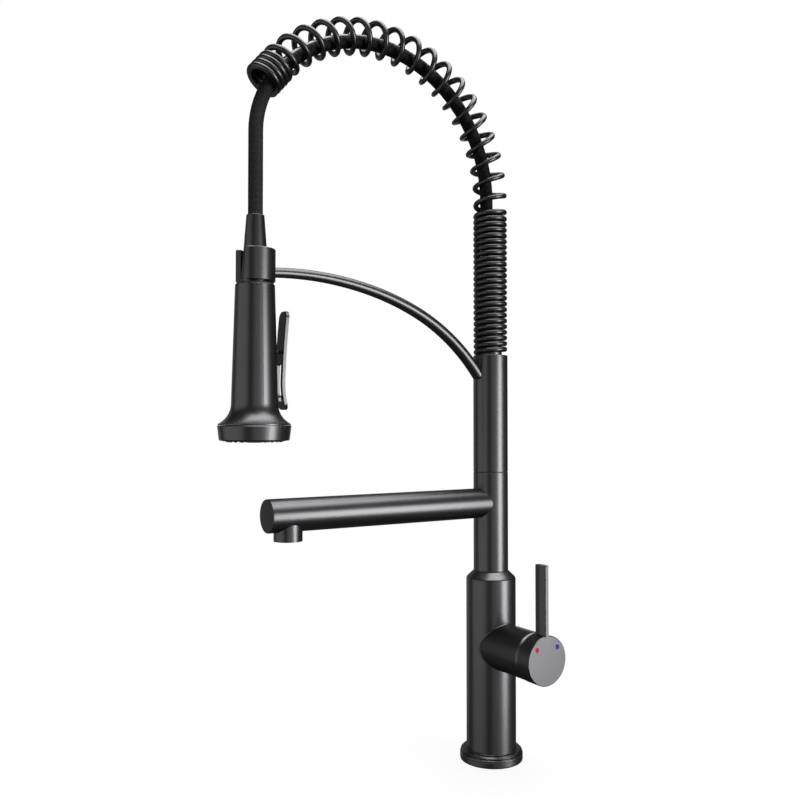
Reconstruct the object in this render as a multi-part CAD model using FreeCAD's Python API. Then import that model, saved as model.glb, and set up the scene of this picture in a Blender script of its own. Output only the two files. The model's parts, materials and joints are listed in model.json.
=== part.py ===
"""Spring-neck kitchen tap with a pull-down sprayer and a swinging pot-filler spout.

Millimetres, +Z up. The origin is the centre of the foot on the worktop. The
spout, the dock arm and the spring arch point along -Y, and the mixer lever is
on the +X side. Each function below makes one group of pieces.
"""
import FreeCAD, Part
import math
import os

os.makedirs("parts", exist_ok=True)
V = FreeCAD.Vector

# ---- driving dimensions -------------------------------------------------
FIT = 0.05                 # radial clearance of a turning or sliding fit

FOOT_R = 27.5              # base ring
FOOT_TOP = 7.0
BODY_R = 21.8              # main body
BODY_SHOULDER = 159.0
BODY_TOP = 165.0
CAVITY_R = 18.6            # hollow of the body, where the supply hoses come up
CAVITY_TOP = 76.0
SHANK_R = 15.2             # minor radius of the M32 x 1.5 shank thread
SHANK_DEPTH = 14.0
INLET_R = 4.5              # minor radius of the M10 x 1 inlet threads
INLET_DEPTH = 10.0
INLET_X = -6.0
PORT_Y = 8.0               # hot and cold ports stand this far either side

NECK_R = 15.25             # swivel sleeve and upper column
NECK_BORE = 12.9
POST_R = 11.5              # inner swivel post
POST_TOP = 300.0
POST_BORE = 5.5
SEAM = 252.0               # joint between the spout sleeve and the column
COLUMN_TOP = 355.5
WASHER = 0.6

SPOUT_Z = 224.8            # pot-filler spout
SPOUT_R = 13.0
SPOUT_BORE = 11.5
SPOUT_END = 216.0
OUTLET_REACH = 198.0
OUTLET_R = 11.15
OUTLET_BOTTOM = 205.0

MIXER_Z = 100.9            # side valve, axis along +X
HOUSING_R = 20.15
HOUSING_END = 58.5
SEAT_X = 27.0
CART_R = 17.4
TILT_X = 39.0              # lever pivot, inside the cartridge
HUB_X = 60.0
HUB_FACE = 73.4
HUB_R = 20.5
LEVER_TOP = 178.6
LEVER_HALF = 1.85
LEVER_WIDEST = 2.4
MARK_R = 2.05
MARK_Y = 10.9
MARK_RISE = 10.4

REACH = 226.0              # sprayer axis, out from the column axis
COIL_R = 15.1              # outside of the spring
WIRE = 4.7
CLOSED_TOP = 485.0
CLOSED_TURNS = 26
ARCH_REACH = 118.8         # centre of the arch
ARCH_Z = 493.5
ARCH_R = 118.75
ARCH_END = 31.7            # angle of the arch's last coil above the horizontal
END_COILS = 11.0           # degrees of arch taken by the last closed coils
HOSE_R = 5.5
HOSE_BORE = 3.0
HOSE_ARCH_R = 115.5        # the hose lies on the inner side of the arch
HOSE_LEAN_FROM = 433.5
HOSE_DROP_BEND = 43.0

DOCK_R = 15.35             # C-shaped dock ring
DOCK_BORE = 11.4
DOCK_BOTTOM = 402.3
DOCK_TOP = 426.9
DOCK_SLOT = 41.0          # degrees to each side of -Y that the ring is open
ARM_PEAK = (189.0, 411.5)  # highest point of the arm's centreline
ARM_ARCS = ((285.0, -5.0, 14.0), (240.0, 14.0, 24.0), (175.0, 24.0, 52.0))
ARM_TIP_R = 3.9
ARM_ROOT_R = 5.35

CONE_BOTTOM = 401.0        # swivel cone on top of the sprayer
CONE_TOP = 453.0
CONE_R = 10.75
CONE_TIP_R = 6.8
GRIP_TOP = 400.0
GRIP_TOP_R = 15.0
GRIP_LOW = 310.5
GRIP_LOW_R = 17.6
FLARE_R = 17.4
BELL_R = 27.3
BELL_BOTTOM = 294.0
RIM_BOTTOM = 282.4
RIM_R = 27.7
RIM_LOW_R = 26.3
NOZZLE_TIP = 281.2

PADDLE_PIVOT = (18.9, 313.6)   # out from the sprayer axis, height
PADDLE_HALF = 7.0
PADDLE_THICK = 2.4
PADDLE_FRONT = ((25.85, 381.5), (23.3, 352.0), (22.15, 330.0), (22.75, 316.5), (25.3, 305.5))
PADDLE_CORNER = 5.4
WINDOW_HALF = 3.2
WINDOW_LOW = 316.2
WINDOW_HIGH = 340.6
EAR_R = 1.5
PLUNGER_Z = 350.0
PLUNGER_R = 1.6
PLUNGER_END = 19.05
PIN_R = 0.8                # pin of the paddle


# ---- helpers ------------------------------------------------------------
def save(node, *solids):
    shape = solids[0] if len(solids) == 1 else Part.makeCompound(list(solids))
    ok = all(solid.isValid() for solid in shape.Solids)
    print(f"{node:24s} solids {len(shape.Solids):2d} valid {ok} {shape.Volume / 1000:9.3f} cm3")
    shape.exportStep(f"parts/{node}.step")
    return shape


def outline(points):
    """Closed face in the XZ plane. A point of four numbers ends an arc through its first pair."""
    edges = []
    last = points[0]
    for point in points[1:] + [points[0]]:
        start = V(last[-2], 0, last[-1])
        end = V(point[-2], 0, point[-1])
        if len(point) == 4:
            edges.append(Part.Arc(start, V(point[0], 0, point[1]), end).toShape())
        else:
            edges.append(Part.LineSegment(start, end).toShape())
        last = point
    return Part.Face(Part.Wire(edges))


def lathe(points, reach=0.0):
    """Turned piece about a vertical axis, reach mm in front of the column."""
    solid = outline(points).revolve(V(0, 0, 0), V(0, 0, 1), 360)
    solid.translate(V(0, -reach, 0))
    return solid


def lathe_x(points):
    """Turned piece about the mixer's axis. Each point is radius, distance along +X."""
    solid = outline(points).revolve(V(0, 0, 0), V(0, 0, 1), 360)
    solid.rotate(V(0, 0, 0), V(0, 1, 0), 90)
    solid.translate(V(0, 0, MIXER_Z))
    return solid


def tube(r_out, r_in, low, high, reach=0.0):
    return lathe([(r_in, low), (r_out, low), (r_out, high), (r_in, high)], reach)


def rod(radius, start, end):
    start = V(*start)
    along = V(*end) - start
    return Part.makeCylinder(radius, along.Length, start, along)


def box(low, high):
    low = V(*low)
    size = V(*high) - low
    return Part.makeBox(size.x, size.y, size.z, low)


def through_edges(block):
    """Edges of a block that run along Y."""
    return [edge for edge in block.Edges if abs(edge.tangentAt(edge.FirstParameter).y) > 0.9]


def on_arch(reach, height):
    """A point of the tap's own plane: reach out along -Y, height up."""
    return V(0, -reach, height)


def circle_point(centre, radius, angle):
    turn = math.radians(angle)
    return on_arch(centre[0] + radius * math.cos(turn), centre[1] + radius * math.sin(turn))


def circle_arc(centre, radius, start, end):
    """Arc edge in the tap's plane, between two angles above the horizontal."""
    middle = circle_point(centre, radius, (start + end) / 2)
    return Part.Arc(circle_point(centre, radius, start), middle,
                    circle_point(centre, radius, end)).toShape()


def sweep(wire, radius):
    """Round bar along a wire of straight runs and tangent arcs."""
    first = wire.OrderedEdges[0]
    begin = wire.OrderedVertexes[0].Point
    near_start = (begin - first.valueAt(first.FirstParameter)).Length < 1e-6
    heading = first.tangentAt(first.FirstParameter if near_start else first.LastParameter)
    profile = Part.Wire([Part.makeCircle(radius, begin, heading)])
    return wire.makePipeShell([profile], True, False)


def pipe(name, wire, r_out, r_in):
    solid = sweep(wire, r_out).cut(sweep(wire, r_in))
    expected = math.pi * (r_out ** 2 - r_in ** 2) * wire.Length
    radii = [round(edge.Curve.Radius, 1) for edge in wire.OrderedEdges if hasattr(edge.Curve, "Radius")]
    print(f"{name}: length {wire.Length:.1f} mm, volume {solid.Volume:.0f} of {expected:.0f} mm3, {radii}")
    return solid


def o_ring(major, minor, height, reach=0.0):
    return Part.makeTorus(major, minor, V(0, -reach, height))


# ---- foot and body ------------------------------------------------------
def foot():
    spigot_r = 19.1
    gasket = (22.0, 26.0, 2.0)
    base = lathe([(spigot_r, 0), (FOOT_R - 0.5, 0), (FOOT_R, 0.5), (FOOT_R, FOOT_TOP - 0.8),
                  (FOOT_R - 0.8, FOOT_TOP - 0.1), (25.9, FOOT_TOP), (spigot_r, FOOT_TOP)])
    base = base.cut(tube(gasket[1], gasket[0], -1, gasket[2]))
    save("base_ring", base)
    save("deck_gasket", tube(gasket[1], gasket[0], 0, gasket[2]))


def body():
    collar_low = FOOT_TOP
    shell = lathe([(0, 0), (19.0, 0), (19.0, collar_low), (26.0, collar_low), (26.8, collar_low + 0.8),
                   (26.8, 8.5), (26.3, 9.0), (BODY_R, 9.1), (BODY_R, BODY_SHOULDER), (NECK_R, BODY_TOP),
                   (0, BODY_TOP)])
    housing = lathe_x([(0, 0), (HOUSING_R, 0), (HOUSING_R, HOUSING_END - 1.5),
                       (HOUSING_R - 0.5, HOUSING_END - 0.5, HOUSING_R - 1.6, HOUSING_END), (0, HOUSING_END)])
    housing = housing.cut(rod(BODY_R, (0, 0, 0), (0, 0, BODY_SHOULDER)))
    cuts = [rod(SHANK_R, (0, 0, -1), (0, 0, SHANK_DEPTH)),
            rod(CAVITY_R, (0, 0, SHANK_DEPTH), (0, 0, CAVITY_TOP)),
            rod(10.0, (0, 0, 143.0), (0, 0, BODY_TOP + 1)),
            rod(17.6, (SEAT_X, 0, MIXER_Z), (HOUSING_END + 1, 0, MIXER_Z))]
    for side in (-1, 1):
        y = side * PORT_Y
        z = MIXER_Z - 6.0
        cuts.append(rod(INLET_R, (INLET_X, y, CAVITY_TOP - 1), (INLET_X, y, CAVITY_TOP + INLET_DEPTH)))
        cuts.append(rod(2.5, (INLET_X, y, CAVITY_TOP), (INLET_X, y, z)))
        cuts.append(rod(2.5, (INLET_X, y, z), (SEAT_X + 1, y, z)))
    mixed = MIXER_Z + 8.0
    cuts.append(rod(3.2, (0, 0, mixed), (SEAT_X + 1, 0, mixed)))
    cuts.append(rod(POST_BORE, (0, 0, mixed), (0, 0, 144.0)))
    for cut in cuts:
        shell = shell.cut(cut)
        housing = housing.cut(cut)
    save("body_casting", shell)
    save("valve_housing", housing)


def post():
    groove = (10.8, 1.1)
    clip_low = 262.4
    clip_high = 263.6
    spool_seat = 209.0
    outer = [(0, 143.0), (10.0, 143.0), (10.0, BODY_TOP), (POST_R, BODY_TOP)]
    for height in (205.0, 243.0):
        outer += [(POST_R, height - groove[1]), (groove[0], height - groove[1]),
                  (groove[0], height + groove[1]), (POST_R, height + groove[1])]
    outer += [(POST_R, clip_low), (groove[0], clip_low), (groove[0], clip_high), (POST_R, clip_high),
              (POST_R, POST_TOP), (0, POST_TOP)]
    solid = lathe(outer)
    solid = solid.cut(rod(4.2, (0, 0, 142), (0, 0, spool_seat)))
    solid = solid.cut(rod(POST_BORE, (0, 0, spool_seat), (0, 0, POST_TOP + 1)))
    solid = solid.cut(rod(2.5, (0, -20, SPOUT_Z), (0, 20, SPOUT_Z)))
    solid = solid.cut(rod(2.5, (-20, 0, SPOUT_Z), (20, 0, SPOUT_Z)))
    save("swivel_post", solid)
    save("post_o_rings", o_ring(11.85, 0.99, 205.0), o_ring(11.85, 0.99, 243.0))
    save("post_washer", tube(NECK_R - 0.3, POST_R + FIT, BODY_TOP, BODY_TOP + WASHER))
    clip = tube(12.6, groove[0] + FIT, clip_low + 0.1, clip_high - 0.1)
    save("post_clip", clip.cut(box((-4, 0, clip_low), (4, 20, clip_high))))

    spool = tube(POST_BORE - FIT, 2.0, spool_seat + 0.1, 221.5)
    save("diverter_spool", spool)
    turns = [o_ring(4.4, 0.5, 223.0 + 3.0 * turn) for turn in range(7)]
    save("diverter_spring", *turns)


# ---- mixer valve on the side ---------------------------------------------
def port_places():
    """Ports in the cartridge seat: (y, height above the mixer axis, bore radius)."""
    return ((-PORT_Y, -6.0, 2.5), (PORT_Y, -6.0, 2.5), (0.0, 8.0, 3.2))


def drill_ports(solid, start, end):
    for y, rise, radius in port_places():
        solid = solid.cut(rod(radius, (start, y, MIXER_Z + rise), (end, y, MIXER_Z + rise)))
    return solid


def cartridge():
    floor = SEAT_X + 1.2
    inner = 14.5
    neck_bore = 11.2
    shell = lathe_x([(0, floor), (CART_R, floor), (CART_R, 53.0), (neck_bore, 53.0), (neck_bore, 50.0),
                     (inner, 50.0), (inner, floor + 2.0), (0, floor + 2.0)])
    save("cartridge_shell", drill_ports(shell, floor - 1, floor + 3))
    seals = []
    for y, rise, radius in port_places():
        seal = Part.makeTorus(radius + 1.2, 0.6, V(SEAT_X + 0.6, y, MIXER_Z + rise), V(1, 0, 0))
        seals.append(seal)
    save("port_seals", *seals)
    fixed = lathe_x([(0, 30.25), (inner - 0.1, 30.25), (inner - 0.1, 33.0), (0, 33.0)])
    save("fixed_disc", drill_ports(fixed, 30, 34))
    save("cartridge_nut", lathe_x([(12.5, 53.0), (17.55, 53.0), (17.55, 57.0), (12.5, 57.0)]))
    dome = lathe_x([(15.0, 57.0), (17.4, 57.0), (17.4, 58.6), (17.83, 58.6), (16.79, 59.5, 15.58, 60.44),
                    (15.0, 60.44)])
    save("dome_ring", dome)

    disc = lathe_x([(0, 33.05), (9.0, 33.05), (9.0, 35.9), (0, 35.9)])
    disc = disc.cut(rod(3.1, (33.9, 0, MIXER_Z), (36.5, 0, MIXER_Z)))
    save("moving_disc", disc)

    rotor = lathe_x([(0, 36.4), (inner - 0.2, 36.4), (inner - 0.2, 49.8), (11.0, 49.8), (11.0, 53.0),
                     (0, 53.0)])
    rotor = rotor.cut(box((36, -3.75, MIXER_Z - 9.6), (54, 3.75, MIXER_Z + 4.6)))
    rotor = rotor.cut(rod(1.25, (TILT_X, -15, MIXER_Z), (TILT_X, 15, MIXER_Z)))
    save("cartridge_rotor", rotor)
    save("tilt_pin", rod(1.25, (TILT_X, -11, MIXER_Z), (TILT_X, 11, MIXER_Z)))


def lever():
    stem = rod(3.5, (37.4, 0, MIXER_Z), (67.0, 0, MIXER_Z))
    stem = stem.fuse(rod(2.2, (34.5, 0, MIXER_Z), (38.0, 0, MIXER_Z)))
    stem = stem.cut(rod(1.25 + FIT, (TILT_X, -8, MIXER_Z), (TILT_X, 8, MIXER_Z)))
    save("lever_stem", stem)

    wall = 1.5
    hub = lathe_x([(HUB_R - wall, HUB_X), (HUB_R, HUB_X), (HUB_R, HUB_FACE - 0.6),
                   (HUB_R - 0.6, HUB_FACE), (0, HUB_FACE), (0, 67.0), (3.5, 67.0), (3.5, 64.5),
                   (5.2, 64.5), (5.2, 68.5), (HUB_R - wall, 68.5)])
    root = MIXER_Z + HUB_R - 0.9
    half_plan = [(61.4, 2.1), (66.5, 2.1), (66.9, LEVER_WIDEST), (HUB_FACE - 0.4, LEVER_HALF),
                 (HUB_FACE, LEVER_HALF - 0.4)]
    plan = half_plan + [(x, -y) for x, y in reversed(half_plan)]
    plan = Part.makePolygon([V(x, y, root) for x, y in plan + plan[:1]])
    bar = Part.Face(plan).extrude(V(0, 0, LEVER_TOP - root))
    rounded = box((61.4, -LEVER_WIDEST, root), (HUB_FACE, LEVER_WIDEST, LEVER_TOP))
    top_edges = [edge for edge in through_edges(rounded) if edge.BoundBox.ZMin > LEVER_TOP - 0.1]
    bar = bar.common(rounded.makeFillet(0.6, top_edges))
    handle = hub.fuse(bar)
    screw_x = 66.6
    access = MIXER_Z - HUB_R - 1
    handle = handle.cut(rod(1.7, (screw_x, 0, MIXER_Z - 3.0), (screw_x, 0, access)))
    marks = []
    for side in (-1, 1):
        place = (HUB_FACE - 0.4, side * MARK_Y, MIXER_Z + MARK_RISE)
        face = (HUB_FACE + 0.05, side * MARK_Y, MIXER_Z + MARK_RISE)
        marks.append(rod(MARK_R, place, face))
    handle = handle.cut(marks[0]).cut(marks[1])
    save("lever_handle", handle)
    save("hot_mark", marks[0])
    save("cold_mark", marks[1])
    screw = rod(1.65, (screw_x, 0, MIXER_Z - 3.55), (screw_x, 0, MIXER_Z - 7.0))
    socket = rod(0.9, (screw_x, 0, MIXER_Z - 5.5), (screw_x, 0, MIXER_Z - 8.0))
    save("lever_screw", screw.cut(socket))


# ---- pot-filler spout ----------------------------------------------------
def spout():
    low = BODY_TOP + WASHER + FIT
    high = SEAM - 0.3
    waterway = rod(SPOUT_BORE, (0, -5.0, SPOUT_Z), (0, -SPOUT_END, SPOUT_Z))
    save("spout_sleeve", tube(NECK_R, NECK_BORE, low, high).cut(waterway))
    solid = rod(SPOUT_R, (0, 0, SPOUT_Z), (0, -(SPOUT_END - 2.0), SPOUT_Z))
    solid = solid.fuse(rod(OUTLET_R, (0, -OUTLET_REACH, OUTLET_BOTTOM), (0, -OUTLET_REACH, SPOUT_Z)))
    solid = solid.cut(rod(NECK_R, (0, 0, low), (0, 0, high))).cut(waterway)
    solid = solid.cut(rod(9.6, (0, -OUTLET_REACH, OUTLET_BOTTOM - 1), (0, -OUTLET_REACH, SPOUT_Z - 6)))
    save("spout_tube", solid)
    save("spout_end_cap", rod(SPOUT_R, (0, -(SPOUT_END - 2.0), SPOUT_Z), (0, -SPOUT_END, SPOUT_Z)))
    bush_out = NECK_BORE - 0.02
    lower_bush = tube(bush_out, POST_R + FIT, 168.0, 176.0)
    upper_bush = tube(bush_out, POST_R + FIT, 246.0, 251.0)
    save("spout_bushes", lower_bush, upper_bush)
    save("seam_washer", tube(NECK_R - 0.4, POST_R + FIT, high, high + WASHER))

    reach = OUTLET_REACH
    save("aerator_ring", tube(9.58, 8.2, 205.4, 212.0, reach))
    core = tube(8.15, 1.0, 206.6, 211.8, reach)
    for turn in range(6):
        angle = math.radians(60 * turn)
        x = 5.0 * math.cos(angle)
        y = -reach + 5.0 * math.sin(angle)
        core = core.cut(rod(1.5, (x, y, 205), (x, y, 213)))
    save("aerator_core", core)
    screen = rod(8.15, (0, -reach, 206.0), (0, -reach, 206.5))
    for ring, count in ((2.4, 6), (4.6, 12), (6.8, 18)):
        for turn in range(count):
            angle = 2 * math.pi * turn / count
            x = ring * math.cos(angle)
            y = -reach + ring * math.sin(angle)
            screen = screen.cut(rod(0.8, (x, y, 205), (x, y, 207)))
    save("aerator_screen", screen)
    save("aerator_washer", tube(9.4, 6.5, 212.0, 213.2, reach))


# ---- column, dock arm, spring and hose -----------------------------------
def column():
    low = SEAM + 0.4
    save("column_tube", tube(NECK_R, NECK_BORE, low, COLUMN_TOP - 2.0))
    bush_out = NECK_BORE - 0.02
    lower = tube(bush_out, POST_R + FIT, low + 0.1, 262.0)
    upper = tube(bush_out, POST_R + FIT, 286.0, 298.0)
    save("column_bushes", lower, upper)
    guide = lathe([(8.9, 335.0), (12.85, 335.0), (12.85, COLUMN_TOP - 2.0), (NECK_R, COLUMN_TOP - 2.0),
                   (NECK_R, COLUMN_TOP - 0.4), (NECK_R - 0.4, COLUMN_TOP), (10.2, COLUMN_TOP),
                   (10.2, 439.0), (9.7, 440.0), (8.9, 440.0)])
    save("spring_guide", guide)
    tail = tube(POST_BORE - FIT, 2.4, 241.6, 302.0)
    for height in (282.0, 290.0):
        tail = tail.cut(tube(6.0, 4.4, height - 0.8, height + 0.8))
    tail = tail.fuse(tube(8.2, 2.4, 302.0, 306.0)).fuse(tube(HOSE_BORE - 0.05, 2.4, 306.0, 330.0))
    save("hose_tail", tail)
    save("tail_o_rings", o_ring(4.93, 0.5, 282.0), o_ring(4.93, 0.5, 290.0))
    save("hose_sleeve", tube(HOSE_R + 0.7, HOSE_R + 0.02, 306.0, 328.0))


def arm_and_dock():
    centre = (ARM_PEAK[0], ARM_PEAK[1] - ARM_ARCS[0][0])
    edges = []
    ends = []
    for index, (radius, start, end) in enumerate(ARM_ARCS):
        if index:
            joint = math.radians(start)
            centre = (ends[-1][0] + radius * math.sin(joint), ends[-1][1] - radius * math.cos(joint))
        edges.append(circle_arc(centre, radius, 90 + start, 90 + end))
        turn = math.radians(end)
        ends.append((centre[0] - radius * math.sin(turn), centre[1] + radius * math.cos(turn)))
    wire = Part.Wire(edges)
    tip = edges[0].Vertexes[0].Point
    root = edges[-1].Vertexes[1].Point
    tip_heading = edges[0].tangentAt(edges[0].FirstParameter)
    root_heading = edges[-1].tangentAt(edges[-1].LastParameter)
    tip_circle = Part.Wire([Part.makeCircle(ARM_TIP_R, tip, tip_heading)])
    root_circle = Part.Wire([Part.makeCircle(ARM_ROOT_R, root, root_heading)])
    arm = wire.makePipeShell([tip_circle, root_circle], True, False)
    arm = arm.cut(rod(NECK_R, (0, 0, 300), (0, 0, COLUMN_TOP)))
    arm = arm.cut(rod(DOCK_R, (0, -REACH, 380), (0, -REACH, 440)))
    arm = max(arm.Solids, key=lambda solid: solid.Volume)
    print(f"dock arm: length {wire.Length:.1f} mm")
    save("dock_arm", arm)

    edge = 0.5
    ring = lathe([(DOCK_BORE, DOCK_BOTTOM), (DOCK_R - edge, DOCK_BOTTOM), (DOCK_R, DOCK_BOTTOM + edge),
                  (DOCK_R, DOCK_TOP - edge), (DOCK_R - edge, DOCK_TOP), (DOCK_BORE, DOCK_TOP)], REACH)
    depth = 20.0
    spread = depth * math.tan(math.radians(DOCK_SLOT))
    low = DOCK_BOTTOM - 1
    wedge = Part.makePolygon([V(0, -REACH, low), V(-spread, -REACH - depth, low),
                              V(spread, -REACH - depth, low), V(0, -REACH, low)])
    slot = Part.Face(wedge).extrude(V(0, 0, DOCK_TOP - DOCK_BOTTOM + 2))
    save("dock_ring", ring.cut(slot))


def spring():
    pitch = (CLOSED_TOP - COLUMN_TOP) / CLOSED_TURNS
    valley = COIL_R - 1.2
    inner = COIL_R - WIRE
    points = [(inner, COLUMN_TOP), (valley, COLUMN_TOP)]
    for turn in range(CLOSED_TURNS):
        low = COLUMN_TOP + turn * pitch
        points.append((COIL_R, low + pitch / 2, valley, low + pitch))
    points.append((inner, CLOSED_TOP))
    save("spring_closed_coils", lathe(points))

    centre = (ARCH_REACH, ARCH_Z)
    open_wall = 0.9
    last_open = ARCH_END + END_COILS
    start = on_arch(ARCH_REACH - ARCH_R, CLOSED_TOP)
    turn_in = circle_point(centre, ARCH_R, 180)
    open_part = Part.Wire([Part.LineSegment(start, turn_in).toShape(),
                           circle_arc(centre, ARCH_R, 180, last_open)])
    end_part = Part.Wire([circle_arc(centre, ARCH_R, last_open, ARCH_END)])
    arch = pipe("open coils", open_part, COIL_R, COIL_R - open_wall)
    arch = arch.fuse(pipe("end coils", end_part, COIL_R, COIL_R - WIRE))
    save("spring_arch_coils", arch)


def hose_route():
    """Centreline of the hose: up the column, over the arch, down to the sprayer."""
    centre = (ARCH_REACH, ARCH_Z)
    inside = ARCH_REACH - HOSE_ARCH_R
    rise = ARCH_Z - HOSE_LEAN_FROM
    lean = 2 * math.atan(inside / rise)
    lean_r = rise / (2 * math.sin(lean))
    bottom = on_arch(0, 306.0)
    lean_start = on_arch(0, HOSE_LEAN_FROM)
    half = math.degrees(lean)
    first_centre = (lean_r, HOSE_LEAN_FROM)
    second_centre = (inside - lean_r, ARCH_Z)
    drop = 90 - ARCH_END
    bend_reach = HOSE_DROP_BEND * (1 - math.cos(math.radians(ARCH_END)))
    leave = circle_point(centre, HOSE_ARCH_R, ARCH_END)
    run = (REACH - bend_reach + leave.y) / math.sin(math.radians(ARCH_END))
    bend_start = (-leave.y + run * math.sin(math.radians(ARCH_END)),
                  leave.z - run * math.sin(math.radians(drop)))
    bend_centre = (REACH - HOSE_DROP_BEND, bend_start[1] - HOSE_DROP_BEND * math.sin(math.radians(ARCH_END)))
    edges = [Part.LineSegment(bottom, lean_start).toShape(),
             circle_arc(first_centre, lean_r, 180, 180 - half),
             circle_arc(second_centre, lean_r, -half, 0),
             circle_arc(centre, HOSE_ARCH_R, 180, ARCH_END),
             Part.LineSegment(leave, on_arch(*bend_start)).toShape(),
             circle_arc(bend_centre, HOSE_DROP_BEND, ARCH_END, 0),
             Part.LineSegment(on_arch(REACH, bend_centre[1]), on_arch(REACH, 412.0)).toShape()]
    return Part.Wire(edges)


def hose():
    save("hose", pipe("hose", hose_route(), HOSE_R, HOSE_BORE))


# ---- sprayer ---------------------------------------------------------------
def hose_end():
    save("hose_ferrule", tube(HOSE_R + 0.7, HOSE_R + 0.02, 412.0, 434.0, REACH))
    nipple = tube(HOSE_BORE - 0.05, 2.0, 410.0, 432.0, REACH)
    nipple = nipple.fuse(tube(7.4, 2.0, 407.0, 412.0, REACH)).fuse(tube(4.4, 2.0, 388.0, 407.0, REACH))
    save("hose_nipple", nipple)


def flare_point(radius, reach):
    """Point of the sprayer's concave flare, at a distance from the sprayer's axis."""
    centre = GRIP_LOW_R + FLARE_R
    return (reach, GRIP_LOW - math.sqrt(radius ** 2 - (centre - reach) ** 2))


def flare_middle(radius, reach):
    """Point halfway along the flare from the grip to that distance."""
    turn = math.asin((GRIP_LOW - flare_point(radius, reach)[1]) / radius)
    return flare_point(radius, GRIP_LOW_R + FLARE_R - radius * math.cos(turn / 2))


def sprayer():
    slope = (CONE_R - CONE_TIP_R) / (CONE_TOP - CONE_BOTTOM)
    cone = lathe([(7.6, CONE_BOTTOM), (CONE_R, CONE_BOTTOM), (CONE_TIP_R + 0.4 * slope, CONE_TOP - 0.4),
                  (CONE_TIP_R - 0.3, CONE_TOP), (HOSE_R + 0.2, CONE_TOP), (HOSE_R + 0.2, 438.0),
                  (6.5, 436.0), (6.5, 412.3), (7.6, 412.3)], REACH)
    save("swivel_cone", cone)

    wall = 2.0
    inside = GRIP_TOP_R - wall
    bell_inside = BELL_R - 2.7
    shell = lathe([(inside, GRIP_TOP), (GRIP_TOP_R - 0.7, GRIP_TOP),
                   (GRIP_TOP_R - 0.2, GRIP_TOP - 0.2, GRIP_TOP_R, GRIP_TOP - 0.8), (GRIP_LOW_R, GRIP_LOW),
                   flare_middle(FLARE_R, BELL_R) + flare_point(FLARE_R, BELL_R),
                   (BELL_R, BELL_BOTTOM), (bell_inside, BELL_BOTTOM),
                   flare_point(FLARE_R + wall, bell_inside),
                   flare_middle(FLARE_R + wall, bell_inside) + (GRIP_LOW_R - wall, GRIP_LOW),
                   (inside, 380.0)], REACH)
    shell = shell.cut(rod(PLUNGER_R + FIT, (0, -REACH, PLUNGER_Z), (0, -REACH + 20, PLUNGER_Z)))
    save("sprayer_shell", shell)

    core = lathe([(0, 288.6), (21.5, 288.6), (21.5, 296.0), (16.5, 301.0), (12.6, 306.0), (12.6, 397.0),
                  (7.5, 397.0), (7.5, 406.6), (0, 406.6)], REACH)
    core = core.cut(rod(4.5, (0, -REACH, 380.0), (0, -REACH, 408.0)))
    core = core.cut(rod(3.0, (0, -REACH, 288.0), (0, -REACH, 381.0)))
    core = core.cut(rod(PLUNGER_R + FIT, (0, -REACH - 2, PLUNGER_Z), (0, -REACH + 20, PLUNGER_Z)))
    save("sprayer_core", core)
    save("check_valve", tube(4.45, 2.0, 381.0, 387.0, REACH))
    save("swivel_washer", tube(14.0, 7.6, GRIP_TOP, CONE_BOTTOM, REACH))

    rim = lathe([(24.7, BELL_BOTTOM - 0.2), (RIM_R - 0.4, BELL_BOTTOM - 0.2), (RIM_R, BELL_BOTTOM - 0.8),
                 (RIM_LOW_R + 0.15, RIM_BOTTOM + 0.8), (RIM_LOW_R - 0.6, RIM_BOTTOM),
                 (23.6, RIM_BOTTOM)], REACH)
    save("sprayer_rim", rim)
    plate = tube(23.5, 5.2, 282.0, 286.0, REACH)
    tips = []
    for ring, count in ((9.0, 10), (14.5, 16), (20.0, 22)):
        for turn in range(count):
            angle = 2 * math.pi * turn / count
            x = ring * math.cos(angle)
            y = -REACH + ring * math.sin(angle)
            tips.append(Part.makeCone(1.3, 0.9, 282.2 - NOZZLE_TIP, V(x, y, 282.2), V(0, 0, -1)))
    save("nozzle_plate", plate.fuse(tips))
    save("spray_plate", tube(23.5, 5.2, 286.0, 288.6, REACH))
    save("stream_jet", tube(5.15, 3.2, 280.8, 288.6, REACH))
    return shell


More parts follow.
